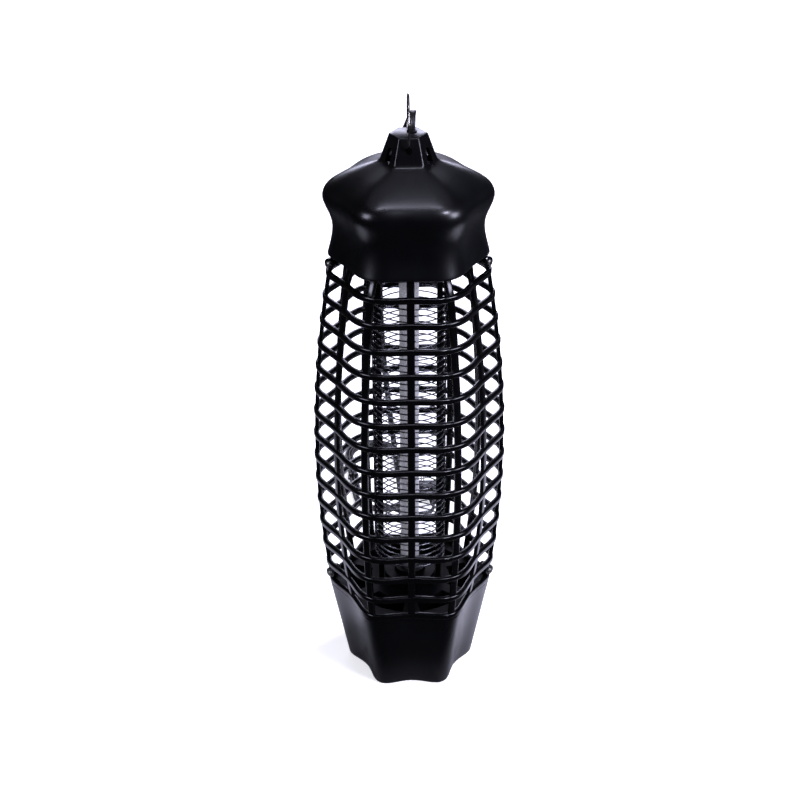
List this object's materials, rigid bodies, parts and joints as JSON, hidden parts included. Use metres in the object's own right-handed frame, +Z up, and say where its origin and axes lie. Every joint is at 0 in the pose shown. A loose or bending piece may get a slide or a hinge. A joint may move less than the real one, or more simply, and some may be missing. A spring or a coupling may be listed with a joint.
{
  "type": "electric bug zapper",
  "caption": "Lantern-shaped hanging insect zapper: hexagonal barrel cage of rings and ribs round a lamp and wire grid, satin cap with hanging ring, flared pull-off tray and mains lead.",
  "frame": {"origin": "on the vertical axis of the housing at the underside of the collecting tray", "axes": "+Z up along the lamp, +Y towards the rear where the lead hangs, +X to the right seen from the front"},
  "size_m": [0.156, 0.4287, 0.5065],
  "materials": {
    "satin_abs": "satin moulded ABS with fine texture",
    "gloss_abs": "gloss black moulded ABS",
    "chassis_abs": "plain black moulded",
    "zinc_screw": "zinc plated steel",
    "nickel_wire": "nickel plated wire",
    "grid_steel": "bright drawn stainless wire",
    "lamp_glass": "frosted fluorescent tube",
    "lamp_cap": "spun aluminium",
    "soft_pvc": "flexible black PVC",
    "lead_pvc": "thin PVC insulated lead",
    "board": "glass-filled circuit board",
    "capacitor": "dipped capacitor",
    "core_steel": "laminated core steel",
    "winding": "enamelled copper winding under tape",
    "terminal": "natural nylon"
  },
  "bodies": {
    "housing": {"cap_shell": "satin_abs", "cage_front": "gloss_abs", "cage_rear": "gloss_abs", "bottom_chassis": "chassis_abs", "top_chassis": "chassis_abs", "lampholder_lower": "chassis_abs", "lampholder_upper": "chassis_abs", "lamp_lead_left": "lead_pvc", "lamp_lead_right": "lead_pvc", "grid_post_left": "chassis_abs", "grid_post_right": "chassis_abs", "grid_wire_a": "grid_steel", "grid_wire_b": "grid_steel", "circuit_board": "board", "choke_core": "core_steel", "choke_winding": "winding", "terminal_block": "terminal", "inner_lead": "soft_pvc", "cord_grommet": "soft_pvc", "power_cord": "soft_pvc", "cord_tail": "soft_pvc", "cord_hank": "soft_pvc", "hank_tie": "soft_pvc", "plug_body": "soft_pvc", "plug_pin_left": "nickel_wire", "plug_pin_right": "nickel_wire", "cage_screw_lower_left": "zinc_screw", "cage_screw_lower_right": "zinc_screw", "cage_screw_upper_left": "zinc_screw", "cage_screw_upper_right": "zinc_screw", "chassis_screw_1": "zinc_screw", "chassis_screw_2": "zinc_screw", "chassis_screw_3": "zinc_screw", "chassis_screw_4": "zinc_screw", "capacitor_1": "capacitor", "capacitor_2": "capacitor", "capacitor_3": "capacitor"},
    "ring": {"hanging_ring": "nickel_wire"},
    "tray": {"collecting_tray": "satin_abs"},
    "lamp": {"lamp_tube": "lamp_glass", "lamp_cap_lower": "lamp_cap", "lamp_cap_upper": "lamp_cap"}
  },
  "joints": [
    {"name": "hanging_ring", "type": "hinge", "parent": "housing", "child": "ring", "pos_m": [0, 0, 0.4676], "axis": [0, 1, 0], "range_deg": [-90, 0]},
    {"name": "tray_pull", "type": "slide", "parent": "housing", "child": "tray", "axis": [0, 0, -1], "range_m": [0, 0.1]},
    {"name": "lamp_turn", "type": "hinge", "parent": "housing", "child": "lamp", "pos_m": [0, 0, 0.23], "axis": [0, 0, 1], "range_deg": [0, 90]}
  ]
}
